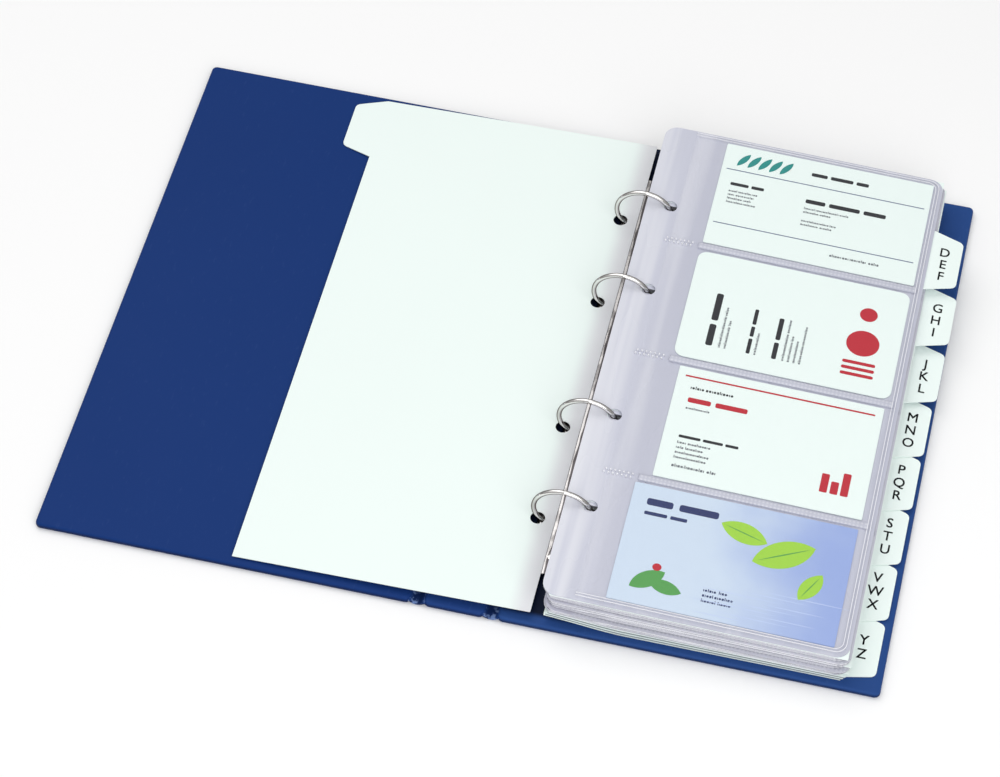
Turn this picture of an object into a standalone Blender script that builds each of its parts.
# Ring album for business cards, open flat: covers, ring mechanism, index dividers, pocket pages, cards.
# Metres, +Z up. X runs across the open album, Y up the page. The rings turn about the line X = 0.
import math

import bmesh
import bpy
from mathutils import Matrix, Vector

# Fits shared by all pieces
GAP = 0.0003
CARD_CLEARANCE = 0.0002

# Covers
COVER_HEIGHT = 0.247
FRONT_WIDTH = 0.1476
SPINE_WIDTH = 0.028
BACK_WIDTH = 0.1459
BACK_HINGE_X = -0.017
GROOVE_WIDTH = 0.005
COVER_CORNER = 0.002
GROOVE_CORNER = 0.0006
FOIL = 0.0004
FOIL_WALL = 0.0006
BOARD = 0.0016
HINGE_FILM = 0.0008
HINGE_FILM_LIFT = 0.0006
HINGE_FILM_SAG = 0.0002

# Ring mechanism
RING_RADIUS = 0.01115
RING_CENTRE_Z = 0.0139
WIRE = 0.0022
RING_INNER_PITCH = 0.065
RING_OUTER_PITCH = 0.045
PLATE_LENGTH = 0.204
PLATE_WIDTH = 0.0192
PLATE_HEIGHT = 0.0029
PLATE_METAL = 0.0007
PLATE_FULLNESS = 2.4
SLOT_CLEARANCE = 0.0007
BLADE_LENGTH = 0.176
BLADE_METAL = 0.0005
BLADE_LIFT = 0.0001
BLADE_SIDE_CLEARANCE = 0.0006
RIVET_END_DISTANCE = 0.008
RIVET_SHANK_RADIUS = 0.0012
RIVET_HEAD_RADIUS = 0.0018
RIVET_HEAD = 0.0004
RIVET_FLANGE_RADIUS = 0.0045

# Holes punched in every leaf, set a little outside the wire
HOLE_DIAMETER = 0.0057
HOLE_OFFSET = 0.00105
TURNED_HOLE_OFFSET = 0.0009
TURNED_AXIS_LIFT = 0.0001

# Index dividers
DIVIDER_CARD = 0.0003
DIVIDER_HEIGHT = 0.2414
DIVIDER_REACH = 0.1046
TURNED_DIVIDER_REACH = 0.1072
DIVIDER_MARGIN = 0.0067
DIVIDER_CORNER = 0.0008
TAB_DEPTH = 0.0124
TAB_FOOT = 0.0316
TAB_TIP = 0.0236
TAB_CORNER = 0.0025
TAB_PITCH = 0.0261

# Pocket pages
PAGE_RIGHT_X = 0.114
PAGE_MARGIN = 0.0096
PAGE_CORNER = 0.0045
PAGE_FILM = 0.0006
FILM = 0.0002
POCKET_MOUTH_X = 0.0134
POCKET_WELD = 0.002
WELD_INSET = 0.00005

# Cards, from the top pocket to the bottom one, and how far each lies from its pocket's closed end
CARD_THICKNESS = 0.0003
CARD_HEIGHT = 0.055
CARD_WIDTH = 0.085
NARROW_CARD_WIDTH = 0.08
CARD_CORNER = 0.0005
ROUND_CARD_CORNER = 0.0038
POCKET_SLACK = 0.001375
CARD_1_INSET = 0.0006
CARD_2_INSET = 0.0009
CARD_3_INSET = 0.0021
CARD_4_INSET = 0.0026

# Lie of the stack: leaves bend down from the plate's top to the cover between these lines
BEND_START_X = 0.002
BEND_END_X = 0.031
BEND_LINES = (0.0055, 0.014, 0.018, 0.022, 0.026, 0.031)

# Leaves of the right-hand stack, bottom to top
STACK = (
    "divider_yz", "divider_vwx", "divider_stu", "divider_pqr", "divider_mno",
    "card_page_01", "card_page_02", "divider_jkl",
    "card_page_03", "card_page_04", "card_page_05", "card_page_06", "divider_ghi",
    "card_page_07", "card_page_08", "card_page_09", "card_page_10", "divider_def",
    "card_page_top",
)
TAB_ORDER = (
    "divider_abc", "divider_def", "divider_ghi", "divider_jkl", "divider_mno",
    "divider_pqr", "divider_stu", "divider_vwx", "divider_yz",
)

# Facets
CORNER_STEPS = 4
HOLE_SIDES = 20
WIRE_SIDES = 12
RING_STEPS = 18
ARCH_STEPS = 9
ROUND_SIDES = 24

# Levels and lines that follow from the sizes above
BOARD_BOTTOM = FOIL + GAP
BOARD_TOP = BOARD_BOTTOM + BOARD
COVER_TOP = BOARD_TOP + GAP + FOIL
FRONT_HINGE_X = BACK_HINGE_X - SPINE_WIDTH
HINGE_Z = HINGE_FILM_LIFT + HINGE_FILM / 2
PLATE_BASE = COVER_TOP + GAP
PLATE_TOP = PLATE_BASE + PLATE_HEIGHT
BLADE_BOTTOM = PLATE_BASE + BLADE_LIFT
BLADE_TOP = BLADE_BOTTOM + BLADE_METAL
BLADE_OUTER_X = PLATE_WIDTH / 2 - PLATE_METAL - BLADE_SIDE_CLEARANCE
PIVOT_Z = BLADE_BOTTOM + BLADE_METAL / 2
STACK_RISE = PLATE_TOP - COVER_TOP
POCKET_SPACE = CARD_THICKNESS + 2 * CARD_CLEARANCE
TOP_PAGE = 2 * FILM + POCKET_SPACE
RING_AXIS = Vector((0.0, 0.0, RING_CENTRE_Z))
TURNED_AXIS = Vector((0.0, 0.0, RING_CENTRE_Z + TURNED_AXIS_LIFT))
RING_YS = (
    RING_INNER_PITCH / 2 + RING_OUTER_PITCH,
    RING_INNER_PITCH / 2,
    -RING_INNER_PITCH / 2,
    -RING_INNER_PITCH / 2 - RING_OUTER_PITCH,
)
RIVET_YS = (PLATE_LENGTH / 2 - RIVET_END_DISTANCE, RIVET_END_DISTANCE - PLATE_LENGTH / 2)
CARD_SHAPES = (
    (CARD_WIDTH, CARD_CORNER, CARD_1_INSET),
    (CARD_WIDTH, ROUND_CARD_CORNER, CARD_2_INSET),
    (NARROW_CARD_WIDTH, CARD_CORNER, CARD_3_INSET),
    (CARD_WIDTH, CARD_CORNER, CARD_4_INSET),
)
POCKET_PITCH = CARD_HEIGHT + 2 * POCKET_SLACK + POCKET_WELD
PAGE_HEIGHT = POCKET_PITCH * len(CARD_SHAPES)
POCKET_END_X = PAGE_RIGHT_X - POCKET_WELD

# Colours, roughness and metallic value of each kind of piece
LOOKS = {
    "foil": ((0.018, 0.047, 0.178), 0.38, 0.0),
    "board": ((0.35, 0.32, 0.28), 0.9, 0.0),
    "nickel": ((0.74, 0.73, 0.72), 0.18, 1.0),
    "index": ((0.87, 0.97, 0.93), 0.55, 0.0),
    "film": ((0.57, 0.58, 0.69), 0.2, 0.0),
    "card": ((0.86, 0.94, 0.92), 0.5, 0.0),
}


def clear_scene():
    for item in list(bpy.data.objects):
        bpy.data.objects.remove(item, do_unlink=True)


def paint(item, look):
    colour, roughness, metallic = LOOKS[look]
    material = bpy.data.materials.new(item.name)
    material.use_nodes = True
    shader = material.node_tree.nodes["Principled BSDF"]
    shader.inputs["Base Color"].default_value = (*colour, 1.0)
    shader.inputs["Roughness"].default_value = roughness
    shader.inputs["Metallic"].default_value = metallic
    item.data.materials.append(material)


def make_object(name, mesh_builder, look, origin=(0.0, 0.0, 0.0)):
    bmesh.ops.recalc_face_normals(mesh_builder, faces=mesh_builder.faces)
    bmesh.ops.translate(mesh_builder, vec=-Vector(origin), verts=mesh_builder.verts)
    mesh = bpy.data.meshes.new(name)
    mesh_builder.to_mesh(mesh)
    mesh_builder.free()
    mesh.shade_smooth()
    mesh.set_sharp_from_angle(angle=math.radians(35))
    item = bpy.data.objects.new(name, mesh)
    item.location = origin
    bpy.context.collection.objects.link(item)
    if look:
        paint(item, look)
    return item


def make_cutter(name, mesh_builder):
    cutter = make_object(name, mesh_builder, None)
    cutter.hide_render = True
    cutter.display_type = "WIRE"
    return cutter


def add_boolean(item, other, operation):
    modifier = item.modifiers.new(other.name, "BOOLEAN")
    modifier.operation = operation
    modifier.solver = "EXACT"
    modifier.object = other


def add_loft(mesh_builder, loops):
    # Skins equal loops one after the other and caps both ends.
    rings = [[mesh_builder.verts.new(point) for point in loop] for loop in loops]
    count = len(rings[0])
    mesh_builder.faces.new(rings[0])
    mesh_builder.faces.new(rings[-1])
    for lower, upper in zip(rings, rings[1:]):
        for i in range(count):
            j = (i + 1) % count
            mesh_builder.faces.new((lower[i], lower[j], upper[j], upper[i]))


def loft(loops):
    mesh_builder = bmesh.new()
    add_loft(mesh_builder, loops)
    return mesh_builder


def at_height(outline, z):
    return [(x, y, z) for x, y in outline]


def rounded(points, radii):
    # Rounds each corner of a closed outline by its own radius; a radius of 0 keeps the corner.
    outline = []
    count = len(points)
    for i, radius in enumerate(radii):
        corner = Vector(points[i])
        if radius == 0:
            outline.append(tuple(corner))
            continue
        before = (Vector(points[i - 1]) - corner).normalized()
        after = (Vector(points[(i + 1) % count]) - corner).normalized()
        half = before.angle(after) / 2
        centre = corner + (before + after).normalized() * radius / math.sin(half)
        start = corner + before * radius / math.tan(half) - centre
        end = corner + after * radius / math.tan(half) - centre
        sweep = start.angle_signed(end)
        for step in range(CORNER_STEPS + 1):
            turn = Matrix.Rotation(-sweep * step / CORNER_STEPS, 2)
            outline.append(tuple(centre + turn @ start))
    return outline


def rectangle(x_low, x_high, y_low, y_high):
    return [(x_low, y_low), (x_high, y_low), (x_high, y_high), (x_low, y_high)]


def circle(x, y, radius, sides):
    turns = [2 * math.pi * i / sides for i in range(sides)]
    return [(x + radius * math.cos(t), y + radius * math.sin(t)) for t in turns]


def sheet(outline, holes, z_low, z_high):
    # A flat plate with holes through it.
    mesh_builder = bmesh.new()
    edges = []
    for loop in [outline, *holes]:
        verts = [mesh_builder.verts.new((x, y, z_low)) for x, y in loop]
        edges += [mesh_builder.edges.new((verts[i - 1], verts[i])) for i in range(len(verts))]
    bmesh.ops.triangle_fill(mesh_builder, edges=edges, use_beauty=True)
    raised = bmesh.ops.extrude_face_region(mesh_builder, geom=list(mesh_builder.faces))
    top = [part for part in raised["geom"] if isinstance(part, bmesh.types.BMVert)]
    bmesh.ops.translate(mesh_builder, vec=(0, 0, z_high - z_low), verts=top)
    return mesh_builder


def drape(mesh_builder, lift):
    for vert in mesh_builder.verts:
        vert.co.z += lift(vert.co.x)


def split_across(mesh_builder, lines):
    for x in lines:
        parts = list(mesh_builder.verts) + list(mesh_builder.edges) + list(mesh_builder.faces)
        bmesh.ops.bisect_plane(mesh_builder, geom=parts, plane_co=(x, 0, 0), plane_no=(1, 0, 0))


def panel_outline(x_low, x_high, inset, low_radius, high_radius):
    half = COVER_HEIGHT / 2 - inset
    corners = rectangle(x_low + inset, x_high - inset, -half, half)
    low = max(low_radius - inset, GROOVE_CORNER / 2)
    high = max(high_radius - inset, GROOVE_CORNER / 2)
    return rounded(corners, (low, high, high, low))


def make_panel(name, x_low, x_high, low_radius, high_radius, origin, rivet_ys):
    # One cover panel: a foil tray outside, a board in it and a foil sheet over the top.
    radii = (low_radius, high_radius)
    outer = panel_outline(x_low, x_high, 0, *radii)
    inner = panel_outline(x_low, x_high, FOIL_WALL, *radii)
    tray = loft([
        at_height(outer, 0),
        at_height(outer, BOARD_TOP),
        at_height(inner, BOARD_TOP),
        at_height(inner, FOIL),
    ])
    foil = make_object(f"{name}_foil_outer", tray, "foil", origin)
    if rivet_ys:
        drill = bmesh.new()
        for y in rivet_ys:
            mouth = circle(0, y, RIVET_FLANGE_RADIUS + GAP, ROUND_SIDES)
            add_loft(drill, [at_height(mouth, -FOIL), at_height(mouth, 2 * FOIL)])
        add_boolean(foil, make_cutter(f"{name}_drill", drill), "DIFFERENCE")
    holes = [circle(0, y, RIVET_SHANK_RADIUS + GAP, ROUND_SIDES) for y in rivet_ys]
    core = panel_outline(x_low, x_high, FOIL_WALL + GAP, *radii)
    make_object(f"{name}_board", sheet(core, holes, BOARD_BOTTOM, BOARD_TOP), "board", origin)
    cover = sheet(outer, holes, BOARD_TOP + GAP, COVER_TOP)
    make_object(f"{name}_foil_inner", cover, "foil", origin)


def make_film_hinge(name, hinge_x):
    # The welded strip of foil in the groove beside the spine, a little dished.
    half = GROOVE_WIDTH / 2 - GAP
    lines = (-half, -half / 2, 0, half / 2, half)
    dips = [HINGE_FILM_SAG * (1 - (x / half) ** 2) for x in lines]
    low = [(hinge_x + x, HINGE_FILM_LIFT - dip) for x, dip in zip(lines, dips)]
    high = [(x, z + HINGE_FILM) for x, z in reversed(low)]
    ends = (-COVER_HEIGHT / 2, COVER_HEIGHT / 2)
    loops = [[(x, y, z) for x, z in low + high] for y in ends]
    make_object(name, loft(loops), "foil", (hinge_x, 0.0, HINGE_Z))


def make_covers():
    half_groove = GROOVE_WIDTH / 2
    front_axis = (FRONT_HINGE_X, 0.0, HINGE_Z)
    back_axis = (BACK_HINGE_X, 0.0, HINGE_Z)
    front = (FRONT_HINGE_X - FRONT_WIDTH, FRONT_HINGE_X - half_groove)
    spine = (FRONT_HINGE_X + half_groove, BACK_HINGE_X - half_groove)
    back = (BACK_HINGE_X + half_groove, BACK_HINGE_X + BACK_WIDTH)
    make_panel("front_cover", *front, COVER_CORNER, GROOVE_CORNER, front_axis, ())
    make_panel("spine", *spine, GROOVE_CORNER, GROOVE_CORNER, back_axis, ())
    make_panel("back_cover", *back, GROOVE_CORNER, COVER_CORNER, (0.0, 0.0, 0.0), RIVET_YS)
    make_film_hinge("film_hinge_front", FRONT_HINGE_X)
    make_film_hinge("film_hinge_back", BACK_HINGE_X)


def arch_height(x, half_width, height):
    share = min(abs(x) / half_width, 1.0)
    return PLATE_BASE + height * (1 - share ** PLATE_FULLNESS) ** (1 / PLATE_FULLNESS)


def arch_line(half_width, height):
    turns = [math.pi * i / (2 * ARCH_STEPS) for i in range(-ARCH_STEPS, ARCH_STEPS + 1)]
    xs = [half_width * math.sin(t) for t in turns]
    return [(x, arch_height(x, half_width, height)) for x in xs]


def ring_point(angle):
    return RING_RADIUS * math.cos(angle), RING_CENTRE_Z + RING_RADIUS * math.sin(angle)


def plate_crossing():
    # The angle on the ring's circle where the wire goes through the middle of the plate.
    half_width = (PLATE_WIDTH - PLATE_METAL) / 2
    height = PLATE_HEIGHT - PLATE_METAL / 2
    low, high = -math.pi / 2, 0.0
    for _ in range(40):
        middle = (low + high) / 2
        x, z = ring_point(middle)
        if x >= half_width or z > arch_height(x, half_width, height):
            high = middle
        else:
            low = middle
    return low


def make_plate():
    # An arched steel plate, open below, with a slot for each wire and a hole for each rivet.
    outside = arch_line(PLATE_WIDTH / 2, PLATE_HEIGHT)
    inside = arch_line(PLATE_WIDTH / 2 - PLATE_METAL, PLATE_HEIGHT - PLATE_METAL)
    profile = outside + inside[::-1]
    loops = [[(x, y, z) for x, z in profile] for y in (-PLATE_LENGTH / 2, PLATE_LENGTH / 2)]
    plate = make_object("ring_plate", loft(loops), "nickel")
    drill = bmesh.new()
    angle = plate_crossing()
    x, z = ring_point(angle)
    along = Vector((-math.sin(angle), 0, math.cos(angle)))
    radius = WIRE / 2 + SLOT_CLEARANCE
    for side in (1, -1):
        lean = Vector((side * along.x, 0, along.z)).to_track_quat("Z", "Y").to_matrix().to_4x4()
        for y in RING_YS:
            seat = Matrix.Translation((side * x, y, z)) @ lean
            bore = circle(0, 0, radius, HOLE_SIDES)
            ends = [at_height(bore, -2 * radius), at_height(bore, 2 * radius)]
            add_loft(drill, [[seat @ Vector(p) for p in loop] for loop in ends])
    for y in RIVET_YS:
        bore = circle(0, y, RIVET_SHANK_RADIUS + GAP, ROUND_SIDES)
        add_loft(drill, [at_height(bore, PLATE_BASE), at_height(bore, PLATE_TOP + PLATE_METAL)])
    bmesh.ops.recalc_face_normals(drill, faces=drill.faces)
    add_boolean(plate, make_cutter("ring_plate_drill", drill), "DIFFERENCE")


def make_rivet(name, y):
    head = PLATE_TOP + GAP
    turned = (
        (RIVET_FLANGE_RADIUS, 0.0),
        (RIVET_FLANGE_RADIUS, FOIL),
        (RIVET_SHANK_RADIUS, FOIL),
        (RIVET_SHANK_RADIUS, head),
        (RIVET_HEAD_RADIUS, head),
        (RIVET_HEAD_RADIUS, head + RIVET_HEAD / 2),
        (RIVET_SHANK_RADIUS, head + RIVET_HEAD),
    )
    loops = [at_height(circle(0, y, radius, ROUND_SIDES), z) for radius, z in turned]
    make_object(name, loft(loops), "nickel")


def make_half_ring(name, side, y, pivot):
    # One bent wire from the blade up to the joint at the top of the ring.
    tip = math.pi / 2 - math.asin(GAP / 2 / RING_RADIUS)
    foot_z = BLADE_TOP + GAP
    foot = -math.acos(min((RING_CENTRE_Z - foot_z) / RING_RADIUS, 1.0)) - math.pi / 2
    start = -math.pi - foot - WIRE / RING_RADIUS
    loops = []
    for step in range(RING_STEPS + 1):
        angle = start + (tip - start) * step / RING_STEPS
        loop = []
        for i in range(WIRE_SIDES):
            turn = 2 * math.pi * i / WIRE_SIDES
            reach = RING_RADIUS + WIRE / 2 * math.cos(turn)
            along_y = y + WIRE / 2 * math.sin(turn)
            loop.append((side * reach * math.cos(angle), along_y, RING_CENTRE_Z + reach * math.sin(angle)))
        loops.append(loop)
    wire = loft(loops)
    parts = list(wire.verts) + list(wire.edges) + list(wire.faces)
    cut = bmesh.ops.bisect_plane(
        wire, geom=parts, plane_co=(0, 0, foot_z), plane_no=(0, 0, 1), clear_inner=True)
    rim = [part for part in cut["geom_cut"] if isinstance(part, bmesh.types.BMEdge)]
    bmesh.ops.edgeloop_fill(wire, edges=rim)
    make_object(name, wire, "nickel", pivot)


def make_ring_side(word, side):
    pivot = (side * BLADE_OUTER_X, 0.0, PIVOT_Z)
    half = BLADE_LENGTH / 2
    xs = sorted((side * GAP / 2, side * BLADE_OUTER_X))
    blade = rectangle(*xs, -half, half)
    loops = [at_height(blade, BLADE_BOTTOM), at_height(blade, BLADE_TOP)]
    make_object(f"ring_blade_{word}", loft(loops), "nickel", pivot)
    for number, y in enumerate(RING_YS, 1):
        make_half_ring(f"half_ring_{word}_{number}", side, y, pivot)


def leaf_thickness(name):
    if name.startswith("divider"):
        return DIVIDER_CARD
    return TOP_PAGE if name == STACK[-1] else PAGE_FILM


def leaf_bottom(name):
    below = STACK[:STACK.index(name)]
    return COVER_TOP + GAP + sum(leaf_thickness(leaf) + GAP for leaf in below)


def leaf_lift(name):
    # Height of a leaf's underside along X: bent low in the stack, straight at its top.
    share = STACK.index(name) / (len(STACK) - 1)
    bottom = leaf_bottom(name)

    def lift(x):
        fall = (BEND_END_X - x) / (BEND_END_X - BEND_START_X)
        fall = min(max(fall, 0.0), 1.0)
        bent = fall / 2 + fall * fall * (3 - 2 * fall) / 2
        straight = (PAGE_RIGHT_X - x) / (PAGE_RIGHT_X - BEND_START_X)
        return bottom + STACK_RISE * ((1 - share) * bent + share * straight)

    return lift


def wire_x(height_at, thickness):
    # Where the ring's circle meets the middle of a leaf on the right-hand side.
    x = RING_RADIUS
    for _ in range(30):
        drop = height_at(x) + thickness / 2 - RING_CENTRE_Z
        x = math.sqrt(max(RING_RADIUS ** 2 - drop ** 2, 0.0))
    return x


def leaf_holes(hole_x):
    return [circle(hole_x, y, HOLE_DIAMETER / 2, HOLE_SIDES) for y in RING_YS]


def divider_outline(name, hole_x, reach):
    # A sheet with one tab on its outer edge; each divider's tab is one pitch lower.
    half = DIVIDER_HEIGHT / 2
    place = TAB_ORDER.index(name) - (len(TAB_ORDER) - 1) / 2
    tab_y = -place * TAB_PITCH
    edge = hole_x + reach
    points = [
        (hole_x - DIVIDER_MARGIN, -half),
        (edge, -half),
        (edge, max(tab_y - TAB_FOOT / 2, DIVIDER_CORNER * 2 - half)),
        (edge + TAB_DEPTH, tab_y - TAB_TIP / 2),
        (edge + TAB_DEPTH, tab_y + TAB_TIP / 2),
        (edge, min(tab_y + TAB_FOOT / 2, half - DIVIDER_CORNER * 2)),
        (edge, half),
        (hole_x - DIVIDER_MARGIN, half),
    ]
    sheet_corner = DIVIDER_CORNER / 2
    radii = (sheet_corner, 0, 0, TAB_CORNER, TAB_CORNER, 0, 0, sheet_corner)
    return rounded(points, radii)


def make_divider(name):
    lift = leaf_lift(name)
    hole_x = wire_x(lift, DIVIDER_CARD) + HOLE_OFFSET
    outline = divider_outline(name, hole_x, DIVIDER_REACH)
    leaf = sheet(outline, leaf_holes(hole_x), 0.0, DIVIDER_CARD)
    split_across(leaf, BEND_LINES)
    drape(leaf, lift)
    make_object(name, leaf, "index", RING_AXIS)


def make_turned_divider(name):
    # The first divider, turned to the left: from the plate's top down to the front cover.
    plate_x = RING_RADIUS - DIVIDER_MARGIN
    far_x = RING_RADIUS + TURNED_DIVIDER_REACH + TAB_DEPTH
    slope = (PLATE_TOP - COVER_TOP) / (far_x - plate_x)

    def lift(x):
        return PLATE_TOP + GAP - slope * (abs(x) - plate_x)

    hole_x = wire_x(lift, DIVIDER_CARD) + TURNED_HOLE_OFFSET
    outline = [(-x, y) for x, y in divider_outline(name, hole_x, TURNED_DIVIDER_REACH)]
    holes = [[(-x, y) for x, y in hole] for hole in leaf_holes(hole_x)]
    leaf = sheet(outline, holes, 0.0, DIVIDER_CARD)
    drape(leaf, lift)
    make_object(name, leaf, "index", TURNED_AXIS)


def page_outline(x_low, low_radius):
    half = PAGE_HEIGHT / 2
    corners = rectangle(x_low, PAGE_RIGHT_X, -half, half)
    return rounded(corners, (low_radius, PAGE_CORNER, PAGE_CORNER, low_radius))


def make_page(name):
    lift = leaf_lift(name)
    hole_x = wire_x(lift, PAGE_FILM) + HOLE_OFFSET
    leaf = sheet(page_outline(hole_x - PAGE_MARGIN, PAGE_CORNER), leaf_holes(hole_x), 0.0, PAGE_FILM)
    split_across(leaf, BEND_LINES)
    drape(leaf, lift)
    make_object(name, leaf, "film", RING_AXIS)


def pocket_y(index):
    return PAGE_HEIGHT / 2 - POCKET_PITCH * (index + 0.5)


def weld_outline():
    # A comb: the weld along the page's outer edges and between the pockets, open at the ring side.
    half = PAGE_HEIGHT / 2 - WELD_INSET
    mouth = POCKET_MOUTH_X + WELD_INSET
    right = PAGE_RIGHT_X - WELD_INSET
    points = [(mouth, -half), (right, -half), (right, half), (mouth, half)]
    radii = [0, PAGE_CORNER, PAGE_CORNER, 0]
    for index in range(len(CARD_SHAPES)):
        reach = (POCKET_PITCH - POCKET_WELD) / 2
        top = pocket_y(index) + reach
        low = pocket_y(index) - reach
        points += [(mouth, top), (POCKET_END_X, top), (POCKET_END_X, low), (mouth, low)]
        radii += [0, 0, 0, 0]
    return rounded(points, radii)


def make_top_page(name):
    # Back film with the punched margin, welded frame, and front film: four pockets open to the left.
    lift = leaf_lift(name)
    hole_x = wire_x(lift, FILM) + HOLE_OFFSET
    back = sheet(page_outline(hole_x - PAGE_MARGIN, PAGE_CORNER), leaf_holes(hole_x), 0.0, FILM)
    comb = weld_outline()
    weld = loft([at_height(comb, FILM / 2), at_height(comb, TOP_PAGE - FILM / 2)])
    window = page_outline(POCKET_MOUTH_X, WELD_INSET)
    front = loft([at_height(window, TOP_PAGE - FILM), at_height(window, TOP_PAGE)])
    for layer in (back, weld, front):
        drape(layer, lift)
    page = make_object(name, back, "film", RING_AXIS)
    add_boolean(page, make_cutter(f"{name}_weld", weld), "UNION")
    add_boolean(page, make_cutter(f"{name}_window", front), "UNION")
    for index, (width, corner, inset) in enumerate(CARD_SHAPES):
        y = pocket_y(index)
        right = POCKET_END_X - inset
        corners = rectangle(right - width, right, y - CARD_HEIGHT / 2, y + CARD_HEIGHT / 2)
        card = rounded(corners, [corner] * 4)
        base = FILM + CARD_CLEARANCE
        body = loft([at_height(card, base), at_height(card, base + CARD_THICKNESS)])
        drape(body, lift)
        middle = right - width / 2
        make_object(f"card_{index + 1}", body, "card", (middle, y, lift(middle) + base))


def make_leaves():
    make_turned_divider(TAB_ORDER[0])
    for name in STACK:
        if name.startswith("divider"):
            make_divider(name)
        elif name == STACK[-1]:
            make_top_page(name)
        else:
            make_page(name)


clear_scene()
make_covers()
make_plate()
for number, rivet_y in enumerate(RIVET_YS, 1):
    make_rivet(f"plate_rivet_{number}", rivet_y)
make_ring_side("left", -1)
make_ring_side("right", 1)
make_leaves()
